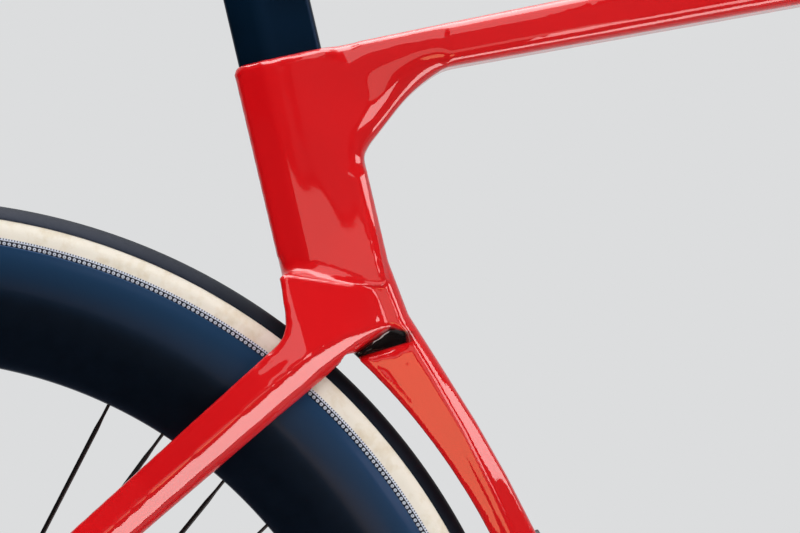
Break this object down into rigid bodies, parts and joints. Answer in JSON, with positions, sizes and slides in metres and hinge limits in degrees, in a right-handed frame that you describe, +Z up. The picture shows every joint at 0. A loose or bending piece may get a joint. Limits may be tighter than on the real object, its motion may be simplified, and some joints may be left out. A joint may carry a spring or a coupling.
{
  "type": "aero road bike frame with rear wheel",
  "caption": "Aero road bike frame with dropped seatstays, wheel-hugging seat tube, sliding bladed seatpost and a deep-rim disc-brake rear wheel that turns freely.",
  "frame": {"origin": "centre of the bottom bracket's spindle bore", "axes": "+X forward, +Y to the rider's left, +Z up"},
  "size_m": [1.1909, 0.17, 0.9626],
  "materials": {
    "red_paint": "gloss clear-coated red paint on carbon",
    "navy_paint": "dark navy satin paint on carbon",
    "rim_carbon": "dark clear-coated carbon",
    "tyre": "black tread with cream sidewalls",
    "black_metal": "black anodised",
    "steel": "brushed",
    "alloy": "satin",
    "pad": "matt friction compound"
  },
  "bodies": {
    "frame": {"seat_cluster": "red_paint", "lower_seat_tube": "red_paint", "top_tube": "red_paint", "head_tube": "red_paint", "down_tube": "red_paint", "bottom_bracket_shell": "red_paint", "chainstay_left": "red_paint", "chainstay_right": "red_paint", "seatstay_left": "red_paint", "seatstay_right": "red_paint", "dropout_left": "red_paint", "dropout_right": "red_paint", "derailleur_hanger": "alloy", "bracket_bearing_left": "steel", "bracket_bearing_right": "steel", "headset_bearing_upper": "steel", "headset_bearing_lower": "steel", "post_wedge": "black_metal", "bottle_boss_seat_upper": "steel", "bottle_boss_seat_lower": "steel", "bottle_boss_down_lower": "steel", "bottle_boss_down_upper": "steel", "through_axle": "black_metal", "hub_axle": "alloy", "brake_caliper": "black_metal", "brake_pad_outer": "pad", "brake_pad_inner": "pad"},
    "seatpost": {"seatpost": "navy_paint", "rail_cradle": "alloy", "rail_clamp": "alloy", "clamp_bolt": "steel"},
    "wheel": {"tyre": "tyre", "rim": "rim_carbon", "spokes": "black_metal", "hub_shell": "black_metal", "brake_rotor": "steel", "rotor_lockring": "black_metal", "valve": "alloy"},
    "sprockets": {"freehub": "alloy", "cassette": "steel", "cassette_lockring": "steel"}
  },
  "joints": [
    {"name": "wheel_spin", "type": "hinge", "parent": "frame", "child": "wheel", "pos_m": [-0.39855, 0, 0.072], "axis": [0, 1, 0], "continuous": true},
    {"name": "freewheel", "type": "hinge", "parent": "wheel", "child": "sprockets", "pos_m": [-0.39855, 0, 0.072], "axis": [0, 1, 0], "continuous": true},
    {"name": "post_height", "type": "slide", "parent": "frame", "child": "seatpost", "axis": [-0.1599, 0, 0.9871], "range_m": [-0.02, 0.025]}
  ]
}
